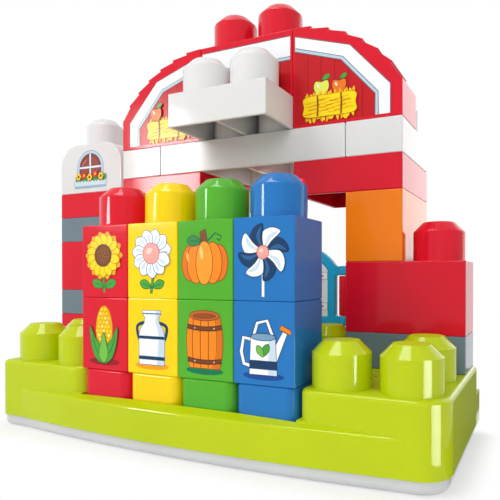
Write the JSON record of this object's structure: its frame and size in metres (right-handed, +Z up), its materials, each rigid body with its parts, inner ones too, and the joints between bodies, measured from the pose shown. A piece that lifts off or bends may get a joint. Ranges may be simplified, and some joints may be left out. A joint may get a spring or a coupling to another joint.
{
  "type": "toy barn",
  "caption": "Toy barn of large studded bricks with an arched roof, a balcony and a swinging gate, on a base with spring-back press keys and loose towers of blocks.",
  "frame": {"origin": "middle of the main base's flat underside, on the floor", "axes": "+Z up, +X to the right as seen from the front, front towards -Y"},
  "size_m": [0.3189, 0.1332, 0.2495],
  "materials": {
    "lime": "gloss",
    "rim_grey": "gloss",
    "red": "gloss",
    "yellow": "gloss",
    "green": "gloss",
    "blue": "gloss",
    "orange": "gloss",
    "white": "gloss",
    "slate": "gloss",
    "gate_blue": "gloss",
    "dome_rubber": "matte",
    "board": "satin",
    "steel": "satin",
    "cell": "satin",
    "black_metal": "satin",
    "black_plastic": "matte"
  },
  "bodies": {
    "barn": {"base_shell": "lime", "back_plate": "lime", "base_tray": "rim_grey", "battery_door": "rim_grey", "left_red_brick": "red", "right_red_brick": "red", "left_lintel": "red", "right_lintel": "red", "rear_brick_right": "red", "rear_brick_left_low": "red", "rear_brick_left_high": "red", "side_tower_red_low": "red", "side_tower_red_mid": "red", "side_tower_red_high": "red", "gate_hinge_brick": "red", "left_orange_brick": "orange", "right_orange_brick": "orange", "left_white_brick": "white", "right_white_brick": "white", "white_beam": "white", "balcony_brick": "white", "left_grey_brick": "slate", "right_grey_brick": "slate", "side_tower_grey_low": "slate", "side_tower_grey_high": "slate", "key_dome_red": "dome_rubber", "key_dome_yellow": "dome_rubber", "key_dome_green": "dome_rubber", "key_dome_blue": "dome_rubber", "circuit_board": "board", "battery_contacts": "steel", "battery_door_screw": "steel", "tray_screws": "steel", "board_screws": "steel", "batteries": "cell", "speaker": "black_metal", "power_switch_body": "black_plastic"},
    "key_red": {"key_red": "red"},
    "block_red_lower": {"block_red_lower": "red"},
    "block_red_upper": {"block_red_upper": "red"},
    "key_yellow": {"key_yellow": "yellow"},
    "block_yellow_lower": {"block_yellow_lower": "yellow"},
    "block_yellow_upper": {"block_yellow_upper": "yellow"},
    "key_green": {"key_green": "green"},
    "block_green_lower": {"block_green_lower": "green"},
    "block_green_upper": {"block_green_upper": "green"},
    "key_blue": {"key_blue": "blue"},
    "block_blue_lower": {"block_blue_lower": "blue"},
    "block_blue_upper": {"block_blue_upper": "blue"},
    "roof_left": {"roof_left": "red"},
    "roof_centre": {"roof_centre": "red"},
    "roof_right": {"roof_right": "red"},
    "side_tower_arch": {"side_tower_arch": "white"},
    "gate": {"gate": "gate_blue"},
    "power_switch_knob": {"power_switch_knob": "black_plastic"}
  },
  "joints": [
    {"name": "key_red_press", "type": "slide", "parent": "barn", "child": "key_red", "axis": [0, 0, 1], "range_m": [-0.003, 0], "stiffness_N_per_m": 500, "springref_m": 0.003, "deforming": ["key_dome_red"]},
    {"name": "block_red_lower_lift", "type": "slide", "parent": "key_red", "child": "block_red_lower", "axis": [0, 0, 1], "range_m": [0, 0.025]},
    {"name": "block_red_upper_lift", "type": "slide", "parent": "block_red_lower", "child": "block_red_upper", "axis": [0, 0, 1], "range_m": [0, 0.025]},
    {"name": "key_yellow_press", "type": "slide", "parent": "barn", "child": "key_yellow", "axis": [0, 0, 1], "range_m": [-0.003, 0], "stiffness_N_per_m": 500, "springref_m": 0.003, "deforming": ["key_dome_yellow"]},
    {"name": "block_yellow_lower_lift", "type": "slide", "parent": "key_yellow", "child": "block_yellow_lower", "axis": [0, 0, 1], "range_m": [0, 0.025]},
    {"name": "block_yellow_upper_lift", "type": "slide", "parent": "block_yellow_lower", "child": "block_yellow_upper", "axis": [0, 0, 1], "range_m": [0, 0.025]},
    {"name": "key_green_press", "type": "slide", "parent": "barn", "child": "key_green", "axis": [0, 0, 1], "range_m": [-0.003, 0], "stiffness_N_per_m": 500, "springref_m": 0.003, "deforming": ["key_dome_green"]},
    {"name": "block_green_lower_lift", "type": "slide", "parent": "key_green", "child": "block_green_lower", "axis": [0, 0, 1], "range_m": [0, 0.025]},
    {"name": "block_green_upper_lift", "type": "slide", "parent": "block_green_lower", "child": "block_green_upper", "axis": [0, 0, 1], "range_m": [0, 0.025]},
    {"name": "key_blue_press", "type": "slide", "parent": "barn", "child": "key_blue", "axis": [0, 0, 1], "range_m": [-0.003, 0], "stiffness_N_per_m": 500, "springref_m": 0.003, "deforming": ["key_dome_blue"]},
    {"name": "block_blue_lower_lift", "type": "slide", "parent": "key_blue", "child": "block_blue_lower", "axis": [0, 0, 1], "range_m": [0, 0.025]},
    {"name": "block_blue_upper_lift", "type": "slide", "parent": "block_blue_lower", "child": "block_blue_upper", "axis": [0, 0, 1], "range_m": [0, 0.025]},
    {"name": "roof_left_lift", "type": "slide", "parent": "barn", "child": "roof_left", "axis": [0, 0, 1], "range_m": [0, 0.025]},
    {"name": "roof_centre_lift", "type": "slide", "parent": "barn", "child": "roof_centre", "axis": [0, 0, 1], "range_m": [0, 0.025]},
    {"name": "roof_right_lift", "type": "slide", "parent": "barn", "child": "roof_right", "axis": [0, 0, 1], "range_m": [0, 0.025]},
    {"name": "side_tower_arch_lift", "type": "slide", "parent": "barn", "child": "side_tower_arch", "axis": [0, 0, 1], "range_m": [0, 0.025]},
    {"name": "gate_swing", "type": "hinge", "parent": "barn", "child": "gate", "pos_m": [0.0495, 0.0635, 0.075], "axis": [0, 0, 1], "range_deg": [-110, 0]},
    {"name": "power_switch_slide", "type": "slide", "parent": "barn", "child": "power_switch_knob", "axis": [1, 0, 0], "range_m": [0, 0.008]}
  ]
}
